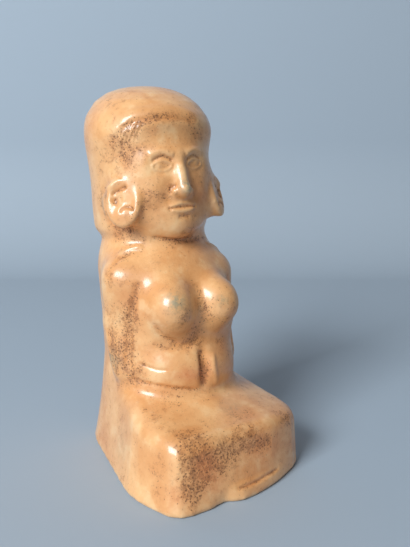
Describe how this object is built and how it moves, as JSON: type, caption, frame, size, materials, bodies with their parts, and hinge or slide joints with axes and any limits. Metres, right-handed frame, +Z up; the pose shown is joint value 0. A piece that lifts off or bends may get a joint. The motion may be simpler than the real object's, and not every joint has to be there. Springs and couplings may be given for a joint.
{
  "type": "squatting female figurine",
  "caption": "Squatting woman in burnished clay with a smooth cap of hair, ear spools, arms at her sides and a wide base of folded legs. Stands on its flat underside for display.",
  "frame": {"origin": "centre of the bounding box seen from above, on the surface that the figurine stands on", "axes": "+Z up, -Y the way the figurine faces, +X her own left"},
  "size_m": [0.0818, 0.1012, 0.17],
  "materials": {
    "clay": "burnished buff-orange clay with brown speckles, worn and waxed"
  },
  "bodies": {
    "root": {"figurine": "clay"}
  },
  "joints": []
}
